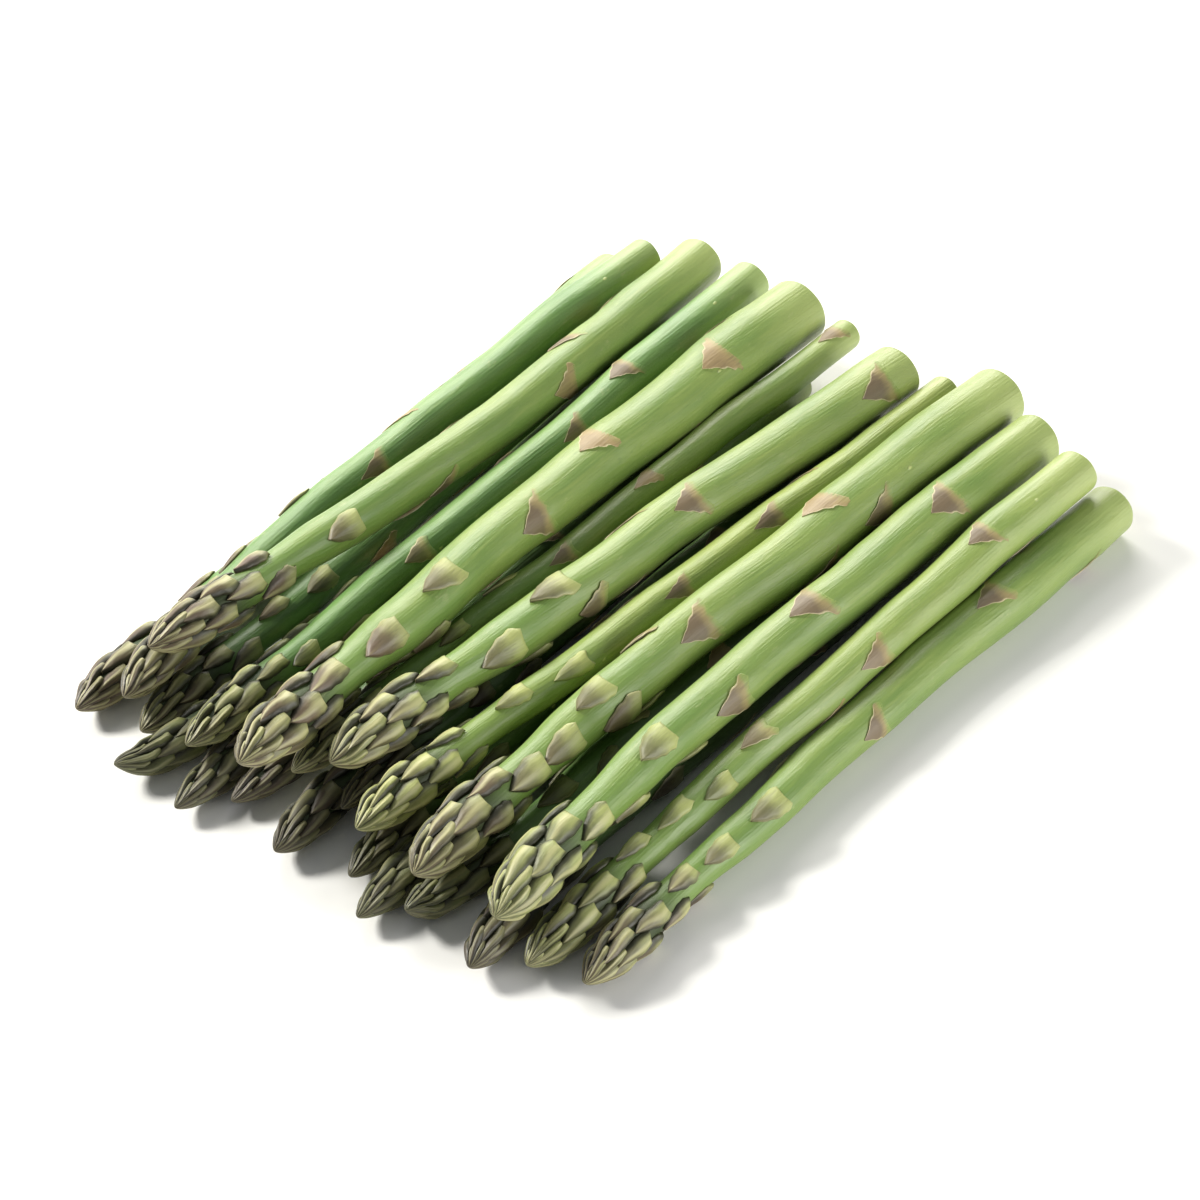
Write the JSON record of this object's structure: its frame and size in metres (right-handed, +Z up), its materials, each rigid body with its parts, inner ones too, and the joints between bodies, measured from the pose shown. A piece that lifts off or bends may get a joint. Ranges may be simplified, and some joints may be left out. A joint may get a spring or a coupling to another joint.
{
  "type": "bundle of asparagus",
  "caption": "Loose bundle of fresh green asparagus spears lying side by side and over one another, pointed heads together at one end and clean cut ends at the other.",
  "frame": {"origin": "on the ground under the middle of the bundle's box", "axes": "+X along the spears from the heads to the cut ends, +Y across them, +Z up"},
  "size_m": [0.276, 0.203, 0.0356],
  "materials": {
    "green_skin": "fresh green stem skin with a faint waxy bloom",
    "blue_green_skin": "cooler bluish green stem skin with a waxy bloom",
    "yellow_green_skin": "pale yellowish green stem skin",
    "dark_green_skin": "deep green skin with olive and purple-brown scales on the head"
  },
  "bodies": {
    "root": {"spear_01": "blue_green_skin", "spear_02": "blue_green_skin", "spear_03": "dark_green_skin", "spear_04": "dark_green_skin", "spear_05": "dark_green_skin", "spear_06": "dark_green_skin", "spear_07": "dark_green_skin", "spear_08": "dark_green_skin", "spear_09": "dark_green_skin", "spear_10": "dark_green_skin", "spear_11": "green_skin", "spear_12": "dark_green_skin", "spear_13": "blue_green_skin", "spear_14": "blue_green_skin", "spear_15": "green_skin", "spear_16": "green_skin", "spear_17": "yellow_green_skin", "spear_18": "green_skin", "spear_19": "green_skin", "spear_20": "green_skin", "spear_21": "green_skin", "spear_22": "green_skin"}
  },
  "joints": []
}
